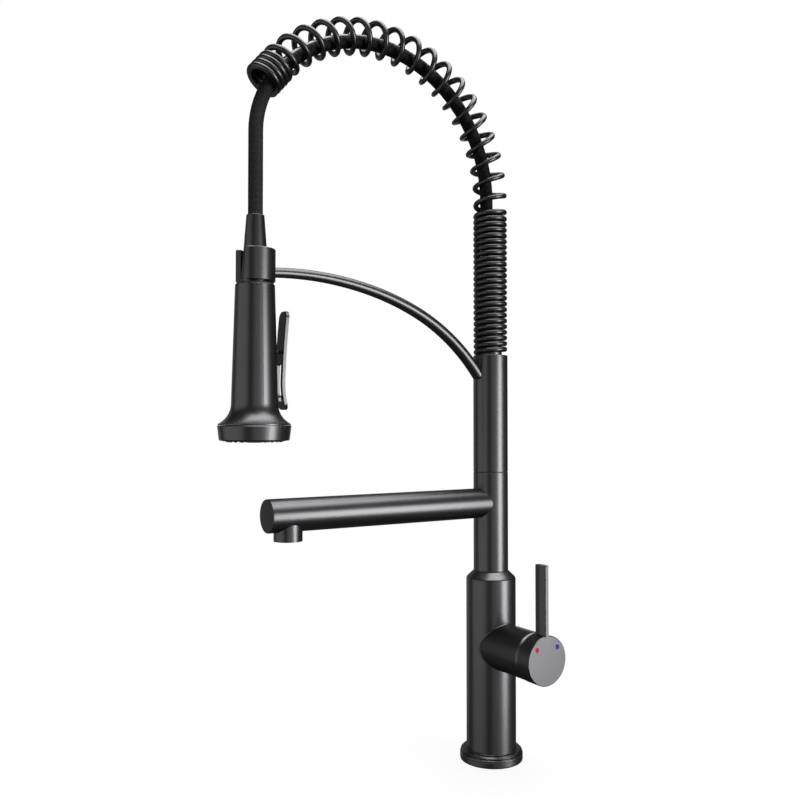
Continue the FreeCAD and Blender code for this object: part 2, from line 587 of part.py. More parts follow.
def paddle(shell):
    out, high = PADDLE_PIVOT
    y_axis = -REACH
    pin_y = y_axis + out
    inner_ear = 2.6
    outer_ear = 4.6
    bracket_half = inner_ear - 0.2
    block = box((-bracket_half, y_axis + 15.2, high - 1.9), (bracket_half, pin_y + 1.2, high + 1.9))
    block = block.cut(shell)
    block = block.cut(rod(PIN_R + FIT, (-9, pin_y, high), (9, pin_y, high)))
    save("paddle_bracket", block)

    front = [V(-20, y_axis + y, z) for y, z in PADDLE_FRONT]
    back = [V(-20, y_axis + y - PADDLE_THICK, z) for y, z in PADDLE_FRONT]
    edges = [Part.Arc(front[0], front[1], front[2]).toShape(),
             Part.Arc(front[2], front[3], front[4]).toShape(),
             Part.LineSegment(front[4], back[4]).toShape(),
             Part.Arc(back[4], back[3], back[2]).toShape(),
             Part.Arc(back[2], back[1], back[0]).toShape(),
             Part.LineSegment(back[0], front[0]).toShape()]
    plate = Part.Face(Part.Wire(edges)).extrude(V(40, 0, 0))
    low = PADDLE_FRONT[-1][1] + 0.1
    top = PADDLE_FRONT[0][1] - 0.1
    blank = box((-PADDLE_HALF, y_axis + 10, low), (PADDLE_HALF, y_axis + 40, top))
    plate = plate.common(blank.makeFillet(PADDLE_CORNER, through_edges(blank)))
    window = box((-WINDOW_HALF, y_axis + 10, WINDOW_LOW), (WINDOW_HALF, y_axis + 40, WINDOW_HIGH))
    plate = plate.cut(window.makeFillet(1.5, through_edges(window)))
    for side in (-1, 1):
        ear = rod(EAR_R, (side * inner_ear, pin_y, high), (side * outer_ear, pin_y, high))
        web_low = (min(side * inner_ear, side * outer_ear), pin_y, high - EAR_R)
        web_high = (max(side * inner_ear, side * outer_ear), y_axis + 22.2, high + EAR_R)
        plate = plate.fuse(ear).fuse(box(web_low, web_high))
    plate = plate.cut(rod(PIN_R + 0.03, (-9, pin_y, high), (9, pin_y, high)))
    save("spray_paddle", plate)
    save("paddle_pin", rod(PIN_R, (-outer_ear, pin_y, high), (outer_ear, pin_y, high)))

    plunger = rod(PLUNGER_R, (0, y_axis + 8.0, PLUNGER_Z), (0, y_axis + PLUNGER_END, PLUNGER_Z))
    tip = Part.makeSphere(PLUNGER_R, V(0, y_axis + PLUNGER_END, PLUNGER_Z))
    save("spray_plunger", plunger.fuse(tip))
    turns = []
    for turn in range(4):
        turns.append(Part.makeTorus(1.2, 0.3, V(0, y_axis + 0.6 + 2.2 * turn, PLUNGER_Z), V(0, 1, 0)))
    save("plunger_spring", *turns)


foot()
body()
post()
cartridge()
lever()
spout()
column()
arm_and_dock()
spring()
hose()
hose_end()
paddle(sprayer())
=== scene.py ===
# %% [markdown]
# # A spring-neck kitchen tap
# The construction is already made: every piece of the tap stands in the frame at
# its real size. This lesson gives it its looks. The real tap is stainless steel
# with a satin black coating, so most of the work is in the edges, in the spring
# and the woven hose, and in light that shows a dark metal well.

# %% Load the frame
import bmesh
import bpy
import json
import math
from mathutils import Matrix, Vector


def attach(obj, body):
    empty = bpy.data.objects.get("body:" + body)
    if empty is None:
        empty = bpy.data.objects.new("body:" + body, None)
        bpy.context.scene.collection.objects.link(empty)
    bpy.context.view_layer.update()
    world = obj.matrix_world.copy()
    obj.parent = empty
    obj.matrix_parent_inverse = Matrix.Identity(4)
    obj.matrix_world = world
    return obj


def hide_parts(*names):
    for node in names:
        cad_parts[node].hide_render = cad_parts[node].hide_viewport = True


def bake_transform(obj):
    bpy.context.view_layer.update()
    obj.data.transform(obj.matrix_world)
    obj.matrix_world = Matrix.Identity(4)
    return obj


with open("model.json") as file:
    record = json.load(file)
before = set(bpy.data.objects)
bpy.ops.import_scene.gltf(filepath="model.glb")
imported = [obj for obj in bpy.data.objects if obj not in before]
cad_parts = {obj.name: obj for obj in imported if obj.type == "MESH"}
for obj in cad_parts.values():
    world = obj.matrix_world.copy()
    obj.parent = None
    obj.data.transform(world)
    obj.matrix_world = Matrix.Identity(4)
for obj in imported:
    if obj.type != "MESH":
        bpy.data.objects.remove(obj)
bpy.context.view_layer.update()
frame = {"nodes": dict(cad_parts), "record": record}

MM = 0.001

# %% [markdown]
# ## Camera
# The tap is seen from a little in front of its lever side, at about half its
# height, with a long lens. A camera that looks almost level keeps the column
# upright in the picture.

# %% Camera
camera_data = bpy.data.cameras.new("camera")
camera_data.sensor_width = 36.0           # mm
camera_data.lens = 39.536
camera = bpy.data.objects.new("camera", camera_data)
camera.location = (0.6164, -0.4910, 0.2970)
camera.rotation_euler = (math.radians(91.379), 0.0, math.radians(57.34))
bpy.context.scene.collection.objects.link(camera)
bpy.context.scene.camera = camera
TOWARDS_CAMERA = math.radians(-38.5)      # azimuth of the camera, seen from the column
print("camera", tuple(round(v, 3) for v in camera.location))

# %% [markdown]
# ## Studio
# A dark shiny tube shows nothing but the room around it. The room here is plain:
# a pale floor, one soft box to the right of the camera, one overhead, and dim wide
# ones to the left, in front and behind. The background is white to the camera, and
# to anything that mirrors what lies behind the tap.

# %% Soft boxes
MIDDLE_OF_TAP = Vector((0.0, -0.08, 0.3))


def soft_box(name, azimuth, elevation, distance, width, height, power):
    """Area lamp aimed at the middle of the tap; azimuth is counted from the camera's side."""
    data = bpy.data.lights.new(name, "AREA")
    data.shape = "RECTANGLE"
    data.size = width
    data.size_y = height
    data.energy = power
    lamp = bpy.data.objects.new(name, data)
    turn = TOWARDS_CAMERA + math.radians(azimuth)
    rise = math.radians(elevation)
    away = Vector((math.cos(turn) * math.cos(rise), math.sin(turn) * math.cos(rise), math.sin(rise)))
    lamp.location = MIDDLE_OF_TAP + away * distance
    lamp.rotation_euler = away.to_track_quat("Z", "Y").to_euler()
    bpy.context.scene.collection.objects.link(lamp)


soft_box("box_right", 68, -5.0, 2.4, 1.00, 1.42, 44)
soft_box("box_top", 100, 80, 1.9, 2.10, 2.10, 76)
soft_box("box_left", -58, -3, 2.4, 3.50, 2.40, 19)
soft_box("box_front", 30, -3, 2.6, 2.30, 2.20, 9)
soft_box("box_back", -138, 0, 2.6, 1.60, 2.40, 4)

# %% Room
def light_path_sum(nodes, links, outputs):
    """Adds Light Path outputs up, kept between 0 and 1."""
    path = nodes.new("ShaderNodeLightPath")
    total = path.outputs[outputs[0]]
    for name in outputs[1:]:
        add = nodes.new("ShaderNodeMath")
        add.operation = "ADD"
        add.use_clamp = True
        links.new(total, add.inputs[0])
        links.new(path.outputs[name], add.inputs[1])
        total = add.outputs[0]
    return total


world = bpy.data.worlds.new("room")
bpy.context.scene.world = world
world.use_nodes = True
nodes, links = world.node_tree.nodes, world.node_tree.links
nodes.clear()
behind = Vector((-math.cos(TOWARDS_CAMERA), -math.sin(TOWARDS_CAMERA), 0.0))
direction = nodes.new("ShaderNodeTexCoord")
facing = nodes.new("ShaderNodeVectorMath")
facing.operation = "DOT_PRODUCT"
facing.inputs[1].default_value = behind
backdrop = nodes.new("ShaderNodeMapRange")
backdrop.interpolation_type = "SMOOTHSTEP"
backdrop.inputs["From Min"].default_value = 0.965
backdrop.inputs["From Max"].default_value = 0.999
links.new(direction.outputs["Generated"], facing.inputs[0])
links.new(facing.outputs["Value"], backdrop.inputs["Value"])
path = nodes.new("ShaderNodeLightPath")
mirrored = nodes.new("ShaderNodeMath")
mirrored.operation = "MULTIPLY"
links.new(path.outputs["Is Glossy Ray"], mirrored.inputs[0])
links.new(backdrop.outputs["Result"], mirrored.inputs[1])
seen = nodes.new("ShaderNodeMath")
seen.operation = "ADD"
links.new(light_path_sum(nodes, links, ["Is Camera Ray", "Is Transmission Ray"]), seen.inputs[0])
links.new(mirrored.outputs[0], seen.inputs[1])
seen.use_clamp = True
dim = nodes.new("ShaderNodeBackground")
dim.inputs["Color"].default_value = (0.06, 0.06, 0.062, 1)
white = nodes.new("ShaderNodeBackground")
white.inputs["Color"].default_value = (1, 1, 1, 1)
mix = nodes.new("ShaderNodeMixShader")
output = nodes.new("ShaderNodeOutputWorld")
links.new(seen.outputs[0], mix.inputs["Fac"])
links.new(dim.outputs[0], mix.inputs[1])
links.new(white.outputs[0], mix.inputs[2])
links.new(mix.outputs[0], output.inputs["Surface"])
print("room", world.name)

# %% Floor
FLOOR_RADIUS = 6.0
floor_mesh = bmesh.new()
bmesh.ops.create_circle(floor_mesh, cap_ends=True, segments=96, radius=FLOOR_RADIUS)
floor_data = bpy.data.meshes.new("floor")
floor_mesh.to_mesh(floor_data)
floor_mesh.free()
floor = bpy.data.objects.new("floor", floor_data)
bpy.context.scene.collection.objects.link(floor)
pale = bpy.data.materials.new("pale_floor")
pale.use_nodes = True
nodes, links = pale.node_tree.nodes, pale.node_tree.links
nodes.clear()
where = nodes.new("ShaderNodeTexCoord")
reach = nodes.new("ShaderNodeVectorMath")
reach.operation = "LENGTH"
near = nodes.new("ShaderNodeMapRange")
near.interpolation_type = "SMOOTHSTEP"
near.inputs["From Min"].default_value = 0.05
near.inputs["From Max"].default_value = 0.32
near.inputs["To Min"].default_value = 0.90
near.inputs["To Max"].default_value = 1.0
lit = nodes.new("ShaderNodeBsdfDiffuse")
lit.inputs["Color"].default_value = (0.82, 0.82, 0.82, 1)
glow = nodes.new("ShaderNodeEmission")
glow.inputs["Color"].default_value = (1, 1, 1, 1)
mirror_share = nodes.new("ShaderNodeMath")
mirror_share.operation = "MULTIPLY"
mirror_share.inputs[1].default_value = 0.012
path = nodes.new("ShaderNodeLightPath")
links.new(path.outputs["Is Glossy Ray"], mirror_share.inputs[0])
seen = light_path_sum(nodes, links, ["Is Camera Ray", "Is Transmission Ray"])
camera_share = nodes.new("ShaderNodeMath")
camera_share.operation = "MULTIPLY"
share = nodes.new("ShaderNodeMath")
share.operation = "ADD"
share.use_clamp = True
mix = nodes.new("ShaderNodeMixShader")
open_below = nodes.new("ShaderNodeBsdfTransparent")
passing = nodes.new("ShaderNodeMixShader")
output = nodes.new("ShaderNodeOutputMaterial")
links.new(where.outputs["Object"], reach.inputs[0])
links.new(reach.outputs["Value"], near.inputs["Value"])
links.new(near.outputs["Result"], camera_share.inputs[0])
links.new(seen, camera_share.inputs[1])
links.new(camera_share.outputs[0], share.inputs[0])
links.new(mirror_share.outputs[0], share.inputs[1])
links.new(light_path_sum(nodes, links, ["Is Glossy Ray", "Is Shadow Ray"]), passing.inputs["Fac"])
links.new(lit.outputs[0], passing.inputs[1])
links.new(open_below.outputs[0], passing.inputs[2])
links.new(share.outputs[0], mix.inputs["Fac"])
links.new(passing.outputs[0], mix.inputs[1])
links.new(glow.outputs[0], mix.inputs[2])
links.new(mix.outputs[0], output.inputs["Surface"])
floor.data.materials.append(pale)
bpy.context.scene.view_settings.view_transform = "Standard"
print("floor radius", FLOOR_RADIUS, "m")

# %% [markdown]
# ## Satin black coating
# The coating is a thin hard metal film on brushed steel. It is a dark mirror with
# a soft blur. Two small effects keep it from looking like plastic: a fine grain
# that changes the blur from place to place, and a faint unevenness of the
# polish. Both are one node group, so that every black piece shares them.

# %% Shared grain group
def new_group(name, inputs, outputs):
    group = bpy.data.node_groups.new(name, "ShaderNodeTree")
    for label, kind, value in inputs:
        socket = group.interface.new_socket(label, in_out="INPUT", socket_type=kind)
        if value is not None:
            socket.default_value = value
    for label, kind in outputs:
        group.interface.new_socket(label, in_out="OUTPUT", socket_type=kind)
    return group, group.nodes.new("NodeGroupInput"), group.nodes.new("NodeGroupOutput")


grain, grain_in, grain_out = new_group(
    "satin_grain",
    [("Vector", "NodeSocketVector", None), ("Scale", "NodeSocketFloat", 900.0),
     ("Roughness", "NodeSocketFloat", 0.34), ("Spread", "NodeSocketFloat", 0.05),
     ("Depth", "NodeSocketFloat", 0.02)],
    [("Roughness", "NodeSocketFloat"), ("Normal", "NodeSocketVector"), ("Tone", "NodeSocketFloat")])
fine = grain.nodes.new("ShaderNodeTexNoise")
fine.inputs["Detail"].default_value = 3.0
broad = grain.nodes.new("ShaderNodeTexNoise")
broad.inputs["Scale"].default_value = 38.0
broad.inputs["Detail"].default_value = 2.0
centred = grain.nodes.new("ShaderNodeMath")
centred.operation = "SUBTRACT"
centred.inputs[1].default_value = 0.5
both = grain.nodes.new("ShaderNodeMath")
both.operation = "ADD"
scaled = grain.nodes.new("ShaderNodeMath")
scaled.operation = "MULTIPLY_ADD"
bump = grain.nodes.new("ShaderNodeBump")
bump.inputs["Distance"].default_value = 0.00002
half = grain.nodes.new("ShaderNodeMath")
half.operation = "MULTIPLY"
half.inputs[1].default_value = 0.5
grain.links.new(grain_in.outputs["Vector"], fine.inputs["Vector"])
grain.links.new(grain_in.outputs["Scale"], fine.inputs["Scale"])
grain.links.new(grain_in.outputs["Vector"], broad.inputs["Vector"])
grain.links.new(fine.outputs["Fac"], both.inputs[0])
grain.links.new(broad.outputs["Fac"], both.inputs[1])
grain.links.new(both.outputs[0], half.inputs[0])
grain.links.new(half.outputs[0], centred.inputs[0])
grain.links.new(centred.outputs[0], scaled.inputs[0])
grain.links.new(grain_in.outputs["Spread"], scaled.inputs[1])
grain.links.new(grain_in.outputs["Roughness"], scaled.inputs[2])
grain.links.new(grain_in.outputs["Depth"], bump.inputs["Strength"])
grain.links.new(fine.outputs["Fac"], bump.inputs["Height"])
grain.links.new(scaled.outputs[0], grain_out.inputs["Roughness"])
grain.links.new(bump.outputs["Normal"], grain_out.inputs["Normal"])
grain.links.new(half.outputs[0], grain_out.inputs["Tone"])
print("group", grain.name)

# %% Materials from the grain
GRAINS_PER_METRE = 900.0


def grained(name, dark, light, metallic, roughness, spread=0.06, depth=0.02):
    """Material whose colour, blur and surface vary finely between two tones."""
    material = bpy.data.materials.new(name)
    material.use_nodes = True
    tree = material.node_tree
    shader = tree.nodes["Principled BSDF"]
    place = tree.nodes.new("ShaderNodeTexCoord")
    group = tree.nodes.new("ShaderNodeGroup")
    group.node_tree = grain
    group.inputs["Scale"].default_value = GRAINS_PER_METRE
    group.inputs["Roughness"].default_value = roughness
    group.inputs["Spread"].default_value = spread
    group.inputs["Depth"].default_value = depth
    tone = tree.nodes.new("ShaderNodeMix")
    tone.data_type = "RGBA"
    tone.inputs["A"].default_value = (*dark, 1)
    tone.inputs["B"].default_value = (*light, 1)
    tree.links.new(place.outputs["Object"], group.inputs["Vector"])
    tree.links.new(group.outputs["Tone"], tone.inputs["Factor"])
    tree.links.new(tone.outputs["Result"], shader.inputs["Base Color"])
    tree.links.new(group.outputs["Roughness"], shader.inputs["Roughness"])
    tree.links.new(group.outputs["Normal"], shader.inputs["Normal"])
    shader.inputs["Metallic"].default_value = metallic
    return material


black_steel = grained("black_steel", (0.084, 0.084, 0.087), (0.106, 0.106, 0.109), 1.0, 0.34)
black_wire = grained("black_wire", (0.070, 0.070, 0.072), (0.090, 0.090, 0.092), 1.0, 0.34)
black_rubber = grained("black_rubber", (0.012, 0.012, 0.012), (0.024, 0.024, 0.024), 0.0, 0.62, depth=0.08)
black_plastic = grained("black_plastic", (0.016, 0.016, 0.017), (0.026, 0.026, 0.028), 0.0, 0.42, depth=0.05)
white_plastic = grained("white_plastic", (0.70, 0.70, 0.68), (0.82, 0.82, 0.80), 0.0, 0.45, depth=0.03)
ceramic = grained("ceramic", (0.80, 0.79, 0.76), (0.88, 0.87, 0.84), 0.0, 0.2, spread=0.03, depth=0.01)
brass = grained("brass", (0.66, 0.47, 0.21), (0.76, 0.57, 0.28), 1.0, 0.28)
spring_steel = grained("spring_steel", (0.50, 0.50, 0.52), (0.64, 0.64, 0.66), 1.0, 0.25)
bright_trim = grained("bright_trim", (0.70, 0.70, 0.72), (0.80, 0.80, 0.82), 1.0, 0.16, spread=0.03)
red_mark = grained("red_mark", (0.27, 0.016, 0.032), (0.35, 0.026, 0.048), 0.0, 0.7)
blue_mark = grained("blue_mark", (0.018, 0.022, 0.16), (0.026, 0.030, 0.24), 0.0, 0.7)
for mark in (red_mark, blue_mark):
    mark.node_tree.nodes["Principled BSDF"].inputs["Specular IOR Level"].default_value = 0.12
FINISHES = {"black_steel": black_steel, "coil_wire": black_wire, "black_rubber": black_rubber,
            "black_plastic": black_plastic, "white_plastic": white_plastic, "ceramic": ceramic,
            "brass": brass, "spring_steel": spring_steel, "bright_trim": bright_trim,
            "red_mark": red_mark, "blue_mark": blue_mark}
FINISHES_BY_NODE = {"paddle_pin": black_steel}
for node in frame["record"]["subparts"]:
    material = FINISHES_BY_NODE.get(node["node"], FINISHES.get(node["material_slot"]))
    if material:
        piece = frame["nodes"][node["node"]]
        for slot in piece.material_slots:
            slot.material = material
print("finishes", len(FINISHES))

# %% [markdown]
# ## Shared modelling helpers
# Nearly every piece of a tap is turned on a lathe. In Blender that is a spin: an
# outline is drawn once, its corners are rounded while it is still flat, and it
# is carried round the axis. Rounding first is cheap and gives each edge its thin
# line of light.

# %% Turning helper
def outline_edges(points):
    """New bmesh with a flat closed outline. Each point is radius, height and corner rounding, in mm."""
    bm = bmesh.new()
    corners = [bm.verts.new((radius * MM, 0, height * MM)) for radius, height, rounding in points]
    bm.faces.new(corners)
    for corner, (_, _, rounding) in zip(corners, points):
        if rounding:
            bmesh.ops.bevel(bm, geom=[corner], offset=rounding * MM, offset_type="OFFSET", segments=4,
                            profile=0.5, affect="VERTICES", material=-1)
    bmesh.ops.delete(bm, geom=bm.faces[:], context="FACES_ONLY")
    on_axis = [edge for edge in bm.edges if all(abs(vert.co.x) < 1e-7 for vert in edge.verts)]
    bmesh.ops.delete(bm, geom=on_axis, context="EDGES")
    return bm


def turned(points, steps=128):
    """Spins the outline round the vertical axis."""
    bm = outline_edges(points)
    bmesh.ops.spin(bm, geom=bm.verts[:] + bm.edges[:], cent=(0, 0, 0), axis=(0, 0, 1), dvec=(0, 0, 0),
                   angle=math.tau, steps=steps, use_merge=True, use_duplicate=False)
    bmesh.ops.remove_doubles(bm, verts=bm.verts[:], dist=1e-7)
    bmesh.ops.recalc_face_normals(bm, faces=bm.faces[:])
    return bm


BODY_OF = {node: body for body, nodes in frame["record"]["behaviour"]["bodies"].items() for node in nodes}


def finished(name, bm, material, replaced, rides=True, sharp=32.0, weighted=True):
    """Makes an object of the bmesh, shades it, hides the parts it replaces and, if it rides, attaches it to
    its body.
    """
    mesh = bpy.data.meshes.new(name)
    bm.to_mesh(mesh)
    bm.free()
    mesh.shade_smooth()
    if sharp:
        mesh.set_sharp_from_angle(angle=math.radians(sharp))
    piece = bpy.data.objects.new(name, mesh)
    bpy.context.scene.collection.objects.link(piece)
    mesh.materials.append(material)
    if weighted:
        piece.modifiers.new("even_light", "WEIGHTED_NORMAL").keep_sharp = True
    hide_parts(*replaced)
    if rides:
        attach(piece, BODY_OF[replaced[0]])
    print(name, len(mesh.polygons), "faces")
    return piece


# %% [markdown]
# ## Foot, body and neck
# The foot ring, the body and the neck are plain turned parts, and what shows them
# as metal is their edges: a thin bright lip above the dark groove at the foot, a
# rounded shoulder, and fine dark seams where the neck turns. The outlines below
# give each corner that shows its own small rounding.

# %% Foot ring and body
def piece_of(name, points):
    """Turned piece on the column's axis that stands for the node of the same name."""
    return finished(name + "_turned", turned(points), black_steel, [name])


BODY_RADIUS = 21.8
FOOT_RADIUS = 27.5
piece_of("base_ring", [(19.1, 0, 0), (27.2, 0, 0.3), (FOOT_RADIUS, 0.8, 0.3), (FOOT_RADIUS, 4.7, 0.05),
                       (27.25, 4.9, 0.05), (FOOT_RADIUS, 5.1, 0.05), (FOOT_RADIUS, 6.3, 0.3),
                       (26.7, 7.0, 0.3), (19.1, 7.0, 0)])
piece_of("body_casting", [(15.2, 0, 0), (19.0, 0, 0), (19.0, 7.0, 0), (25.4, 7.0, 0), (25.4, 7.9, 0),
                          (26.8, 7.9, 0.1), (26.8, 8.2, 0.15), (25.4, 9.6, 0.3), (22.2, 9.6, 0.1),
                          (BODY_RADIUS, 9.9, 0.15), (BODY_RADIUS, 159.0, 1.2), (15.5, 164.9, 0.4),
                          (14.6, 165.0, 0.1), (10.0, 165.0, 0.2), (10.0, 143.0, 0), (0, 143.0, 0),
                          (0, 76.0, 0), (18.6, 76.0, 0.5), (18.6, 14.0, 0), (15.2, 14.0, 0)])

# %% Neck and upper column
NECK_RADIUS = 15.25
NECK_BORE = 12.9
piece_of("spout_sleeve", [(NECK_BORE, 165.65, 0), (NECK_RADIUS, 165.65, 0.25),
                          (NECK_RADIUS, 251.7, 0.25), (NECK_BORE, 251.7, 0)])
piece_of("column_tube", [(NECK_BORE, 252.4, 0), (NECK_RADIUS, 252.4, 0.25),
                         (NECK_RADIUS, 353.5, 0.1), (NECK_BORE, 353.5, 0)])
piece_of("spring_guide", [(8.9, 335.0, 0), (12.85, 335.0, 0), (12.85, 353.55, 0),
                          (NECK_RADIUS, 353.55, 0.12), (NECK_RADIUS, 355.5, 0.5), (10.2, 355.5, 0.1),
                          (10.2, 439.6, 0.3), (8.9, 440.0, 0.2)])

# %% [markdown]
# ## Side housing
# The mixer valve sits in a short tube that is welded to the body. Its weld is
# ground to a small smooth bead, which catches the light from above as a thin line.
# The bead starts as a ring round the housing. Each of its points then moves along
# the housing until it lies on the body's round surface.

# %% Side housing with its weld bead
MIXER_HEIGHT = 100.9
HOUSING_RADIUS = 20.15
HOUSING_STEPS = 160
BEAD_IN = HOUSING_RADIUS - 0.6
BEAD_OUT = HOUSING_RADIUS + 0.45


def lie_along_x(bm):
    """Lays a piece turned about the upright axis down, so that it points along +X at the mixer's height."""
    turn_about_y = Matrix.Rotation(math.radians(90), 3, "Y")
    bmesh.ops.rotate(bm, verts=bm.verts[:], cent=(0, 0, 0), matrix=turn_about_y)
    bmesh.ops.translate(bm, verts=bm.verts[:], vec=(0, 0, MIXER_HEIGHT * MM))
    return bm


bm = lie_along_x(turned([(0, 6.0, 0), (HOUSING_RADIUS, 6.0, 0), (HOUSING_RADIUS, 56.6, 0.25),
                         (18.6, 59.1, 0.25), (17.95, 59.1, 0.1), (17.95, 58.3, 0), (17.6, 58.3, 0),
                         (17.6, 27.0, 0), (0, 27.0, 0)], steps=HOUSING_STEPS))
bead = turned([(BEAD_IN, -0.1, 0.2), (HOUSING_RADIUS + 0.05, -0.75, 0.2), (BEAD_OUT, -0.3, 0.2),
               (BEAD_OUT, 0.35, 0.2), (HOUSING_RADIUS + 0.02, 0.9, 0.2), (BEAD_IN, 0.6, 0.2)],
              steps=HOUSING_STEPS)
lie_along_x(bead)
for vert in bead.verts:
    across = min(abs(vert.co.y), BODY_RADIUS * MM)
    vert.co.x += math.sqrt((BODY_RADIUS * MM) ** 2 - across ** 2)
bead_mesh = bpy.data.meshes.new("bead")
bead.to_mesh(bead_mesh)
bead.free()
bm.from_mesh(bead_mesh)
bpy.data.meshes.remove(bead_mesh)
finished("valve_housing_turned", bm, black_steel, ["valve_housing"])

# %% [markdown]
# ## Spout end
# The spout is closed by a flat disc. A narrow rounded rim runs round the disc, and
# it shows as a thin lighter line against the dark face.

# %% Spout end disc
SPOUT_HEIGHT = 224.8
SPOUT_RADIUS = 13.0
SPOUT_END = 216.0
bm = turned([(0, SPOUT_END - 2.0, 0), (SPOUT_RADIUS, SPOUT_END - 2.0, 0), (SPOUT_RADIUS, SPOUT_END, 0.6),
             (0, SPOUT_END, 0)])
TURN_ABOUT_X = Matrix.Rotation(math.radians(90), 3, "X")
bmesh.ops.rotate(bm, verts=bm.verts[:], cent=(0, 0, 0), matrix=TURN_ABOUT_X)
bmesh.ops.translate(bm, verts=bm.verts[:], vec=(0, 0, SPOUT_HEIGHT * MM))
finished("spout_end_disc", bm, black_steel, ["spout_end_cap"])

# %% [markdown]
# ## Spring
# The spring is one wire, wound from end to end: touching turns that stand on the
# column, open turns over the arch, and a few touching turns at the end, which is
# ground flat. One turn is made by spinning a small round outline with a rise at
# every step, which gives a helix. The turn is copied as often as the spring needs,
# and each copy is stretched to the pitch of its own place. Then the winding is
# bent over the arch.

# %% Spring measures
COIL_RADIUS = 12.75
WIRE_RADIUS = 2.35
COIL_FOOT = 357.85
COIL_START = 183.0               # degrees round the column
CLOSED_PITCH = 5.07
OPEN_PITCH = 16.5
END_PITCH = 4.74                 # the last turns touch, and stand straight
# Each part is a number of turns, and the pitch in mm at its start and its end.
WINDING = ((24.22, CLOSED_PITCH, CLOSED_PITCH), (1.0, CLOSED_PITCH, OPEN_PITCH), (1.0, 16.9, 16.9),
           (9.5, 16.63, 16.63), (6.3, 16.2, 16.2), (1.5, 16.2, END_PITCH), (4.04, END_PITCH, END_PITCH))
GROUND_TURN = 0.52               # share of the last turn that is ground away
STRAIGHT_TURNS = 4.0             # turns at the end that stand straight
TURNS = sum(count for count, first, last in WINDING)
ARCH_CENTRE = (118.8, 493.5)
ARCH_RADIUS = 118.75
STEPS = 36                       # pieces in each turn
FREE_RISE = 40.0                 # rise of the loose turn, before it gets its pitch


def winding_height(turns):
    """Height of the wire's middle after a number of turns from the foot of the spring."""
    height = COIL_FOOT
    for count, first, last in WINDING:
        part = min(turns, count)
        height += part * (first + (last - first) * part / count / 2)
        turns -= part
        if turns <= 0:
            break
    return height


print("spring", round(TURNS, 2), "turns, straight length", round(winding_height(TURNS) - COIL_FOOT, 1), "mm")

# %% Wind and copy the turns
def loose_turn(steps):
    """Mesh of one loose turn, or of its first few steps, about the upright axis."""
    turn = bmesh.new()
    bmesh.ops.create_circle(turn, cap_ends=False, segments=14, radius=WIRE_RADIUS * MM)
    bmesh.ops.rotate(turn, verts=turn.verts[:], cent=(0, 0, 0), matrix=TURN_ABOUT_X)
    bmesh.ops.translate(turn, verts=turn.verts[:], vec=(COIL_RADIUS * MM, 0, 0))
    bmesh.ops.spin(turn, geom=turn.verts[:] + turn.edges[:], cent=(0, 0, 0), axis=(0, 0, 1),
                   dvec=(0, 0, FREE_RISE * MM / STEPS), angle=math.tau * steps / STEPS, steps=steps,
                   use_merge=False, use_duplicate=False)
    mesh = bpy.data.meshes.new("loose_turn")
    turn.to_mesh(mesh)
    turn.free()
    return mesh


bm = bmesh.new()
full_turn = loose_turn(STEPS)
last_steps = round((TURNS - int(TURNS)) * STEPS)
last_turn = loose_turn(last_steps)
for number in range(int(TURNS) + 1):
    before = len(bm.verts)
    bm.from_mesh(full_turn if number < int(TURNS) else last_turn)
    bm.verts.ensure_lookup_table()
    for vert in bm.verts[before:]:
        share = math.atan2(vert.co.y, vert.co.x) / math.tau
        share += round(vert.co.z / (FREE_RISE * MM) - share)
        vert.co.z += winding_height(number + share) * MM - share * FREE_RISE * MM
bmesh.ops.remove_doubles(bm, verts=bm.verts[:], dist=2e-6)
end_height = winding_height(TURNS - GROUND_TURN) * MM
bmesh.ops.bisect_plane(bm, geom=bm.verts[:] + bm.edges[:] + bm.faces[:], dist=1e-7,
                       plane_co=(0, 0, end_height), plane_no=(0, 0, 1), clear_outer=True)
open_edges = [edge for edge in bm.edges if edge.is_boundary]
bmesh.ops.holes_fill(bm, edges=open_edges, sides=0)
start_turn = Matrix.Rotation(math.radians(COIL_START), 3, "Z")
bmesh.ops.rotate(bm, verts=bm.verts[:], cent=(0, 0, 0), matrix=start_turn)
bpy.data.meshes.remove(full_turn)
bpy.data.meshes.remove(last_turn)
print("winding", len(bm.verts), "points,", len(open_edges), "edges closed")

# %% Bend the spring over the arch
centre_y, centre_z = -ARCH_CENTRE[0] * MM, ARCH_CENTRE[1] * MM
bend_end = winding_height(TURNS - STRAIGHT_TURNS) * MM
for vert in bm.verts:
    past = min(vert.co.z, bend_end) - centre_z
    straight = max(0.0, vert.co.z - bend_end)
    if past > 0:
        swing = past / (ARCH_RADIUS * MM)
        out = ARCH_RADIUS * MM + vert.co.y
        vert.co.y = centre_y + out * math.cos(swing) - straight * math.sin(swing)
        vert.co.z = centre_z + out * math.sin(swing) + straight * math.cos(swing)
bmesh.ops.recalc_face_normals(bm, faces=bm.faces[:])
spring = finished("coil_spring", bm, black_wire, ["spring_closed_coils", "spring_arch_coils"],
                  rides=False, sharp=50.0, weighted=False)
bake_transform(spring)

# %% [markdown]
# ## Woven hose
# Inside the spring runs the water hose, in a jacket of woven nylon. It starts as a
# straight woven tube: one long line of many short pieces, spun round the axis. The
# strands are pressed into the mesh a little, the tube gets a UV map, so that the
# weave can follow it, and then the tube is bent along its route.

# %% Weave
STRANDS_AROUND = 16
DIAMOND = 0.0046                 # length of one woven cell along the hose


def strand_height(turn, along):
    """Height of the weave, 0 to 1, at a share of the turn and a distance along the hose."""
    first = turn * STRANDS_AROUND + along / DIAMOND
    second = turn * STRANDS_AROUND - along / DIAMOND
    over = (math.floor(first) + math.floor(second)) % 2
    return abs(math.sin(math.pi * (second if over else first)))


